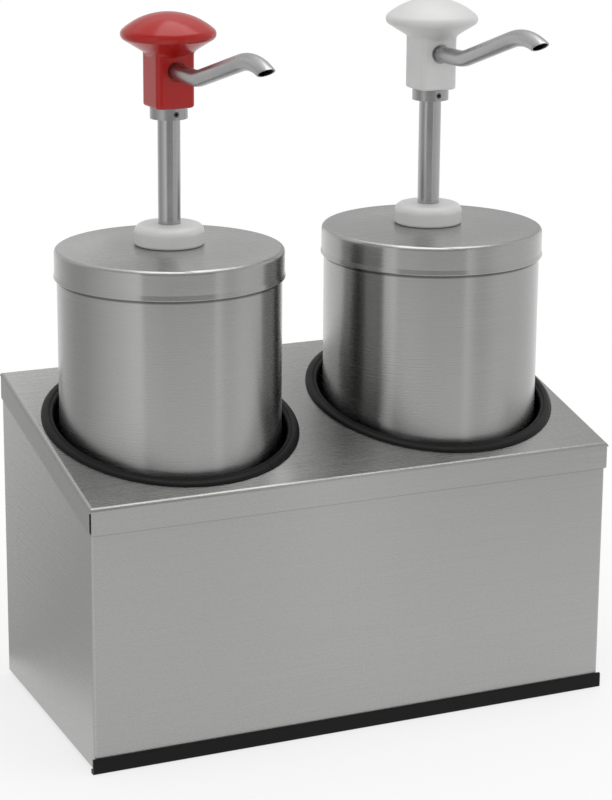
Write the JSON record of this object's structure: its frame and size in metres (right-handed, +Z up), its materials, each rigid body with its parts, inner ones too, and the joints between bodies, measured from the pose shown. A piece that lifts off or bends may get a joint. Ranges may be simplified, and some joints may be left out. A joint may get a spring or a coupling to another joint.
{
  "type": "twin sauce jar pump station",
  "caption": "Steel counter station with a sloping top, holding lidded round jars with sprung plunger pumps, palm-cap heads and turning spouts.",
  "frame": {"origin": "on the table, in the middle of the footprint between the two foot strips", "axes": "+Z up, +X to the right of a person who faces the front, +Y to the back"},
  "size_m": [0.403, 0.2606, 0.5123],
  "materials": {
    "panel_steel": "satin",
    "jar_steel": "polished",
    "shelf_steel": "satin",
    "bright_steel": "polished",
    "spring_steel": "drawn",
    "trim_rubber": "satin",
    "foot_rubber": "matte",
    "gasket_rubber": "matte",
    "red_plastic": "gloss",
    "white_plastic": "gloss",
    "pump_plastic": "satin"
  },
  "bodies": {
    "housing": {"housing": "panel_steel", "back_panel": "panel_steel", "top_cover": "panel_steel", "jar_shelf": "shelf_steel", "left_trim_ring": "trim_rubber", "right_trim_ring": "trim_rubber", "front_foot_strip": "foot_rubber", "back_foot_strip": "foot_rubber", "back_rivets": "bright_steel", "cover_rivets": "bright_steel"},
    "left_jar": {"left_jar": "jar_steel"},
    "left_pump": {"left_lid": "jar_steel", "left_guide_boss": "white_plastic", "left_lid_gasket": "gasket_rubber", "left_pump_cylinder": "bright_steel", "left_foot_valve": "pump_plastic", "left_spring_seat": "bright_steel", "left_suction_tube": "bright_steel", "left_return_spring": "spring_steel"},
    "left_spring_cap": {"left_spring_cap": "pump_plastic"},
    "left_plunger": {"left_piston": "pump_plastic", "left_piston_seal": "trim_rubber", "left_rod": "bright_steel", "left_collar": "bright_steel", "left_set_screw": "spring_steel", "left_head": "red_plastic", "left_spout": "bright_steel"},
    "left_inlet_ball": {"left_inlet_ball": "bright_steel"},
    "left_outlet_ball": {"left_outlet_ball": "bright_steel"},
    "right_jar": {"right_jar": "jar_steel"},
    "right_pump": {"right_lid": "jar_steel", "right_guide_boss": "white_plastic", "right_lid_gasket": "gasket_rubber", "right_pump_cylinder": "bright_steel", "right_foot_valve": "pump_plastic", "right_spring_seat": "bright_steel", "right_suction_tube": "bright_steel", "right_return_spring": "spring_steel"},
    "right_spring_cap": {"right_spring_cap": "pump_plastic"},
    "right_plunger": {"right_piston": "pump_plastic", "right_piston_seal": "trim_rubber", "right_rod": "bright_steel", "right_collar": "bright_steel", "right_set_screw": "spring_steel", "right_head": "white_plastic", "right_spout": "bright_steel"},
    "right_inlet_ball": {"right_inlet_ball": "bright_steel"},
    "right_outlet_ball": {"right_outlet_ball": "bright_steel"}
  },
  "joints": [
    {"name": "left_jar_lift", "type": "slide", "parent": "housing", "child": "left_jar", "axis": [0, 0, 1], "range_m": [0, 0.16]},
    {"name": "left_pump_lift", "type": "slide", "parent": "left_jar", "child": "left_pump", "axis": [0, 0, 1], "range_m": [0, 0.25]},
    {"name": "left_plunger_stroke", "type": "slide", "parent": "left_pump", "child": "left_spring_cap", "axis": [0, 0, 1], "range_m": [-0.07, 0], "stiffness_N_per_m": 400, "springref_m": 0.03, "deforming": ["left_return_spring"]},
    {"name": "left_spout_turn", "type": "hinge", "parent": "left_spring_cap", "child": "left_plunger", "pos_m": [-0.104, 0.002, 0.31654], "axis": [0, 0, 1], "continuous": true},
    {"name": "left_inlet_ball_lift", "type": "slide", "parent": "left_pump", "child": "left_inlet_ball", "axis": [0, 0, 1], "range_m": [0, 0.003]},
    {"name": "left_outlet_ball_lift", "type": "slide", "parent": "left_plunger", "child": "left_outlet_ball", "axis": [0, 0, 1], "range_m": [0, 0.003]},
    {"name": "right_jar_lift", "type": "slide", "parent": "housing", "child": "right_jar", "axis": [0, 0, 1], "range_m": [0, 0.16]},
    {"name": "right_pump_lift", "type": "slide", "parent": "right_jar", "child": "right_pump", "axis": [0, 0, 1], "range_m": [0, 0.25]},
    {"name": "right_plunger_stroke", "type": "slide", "parent": "right_pump", "child": "right_spring_cap", "axis": [0, 0, 1], "range_m": [-0.07, 0], "stiffness_N_per_m": 400, "springref_m": 0.03, "deforming": ["right_return_spring"]},
    {"name": "right_spout_turn", "type": "hinge", "parent": "right_spring_cap", "child": "right_plunger", "pos_m": [0.1008, 0.002, 0.31654], "axis": [0, 0, 1], "continuous": true},
    {"name": "right_inlet_ball_lift", "type": "slide", "parent": "right_pump", "child": "right_inlet_ball", "axis": [0, 0, 1], "range_m": [0, 0.003]},
    {"name": "right_outlet_ball_lift", "type": "slide", "parent": "right_plunger", "child": "right_outlet_ball", "axis": [0, 0, 1], "range_m": [0, 0.003]}
  ]
}
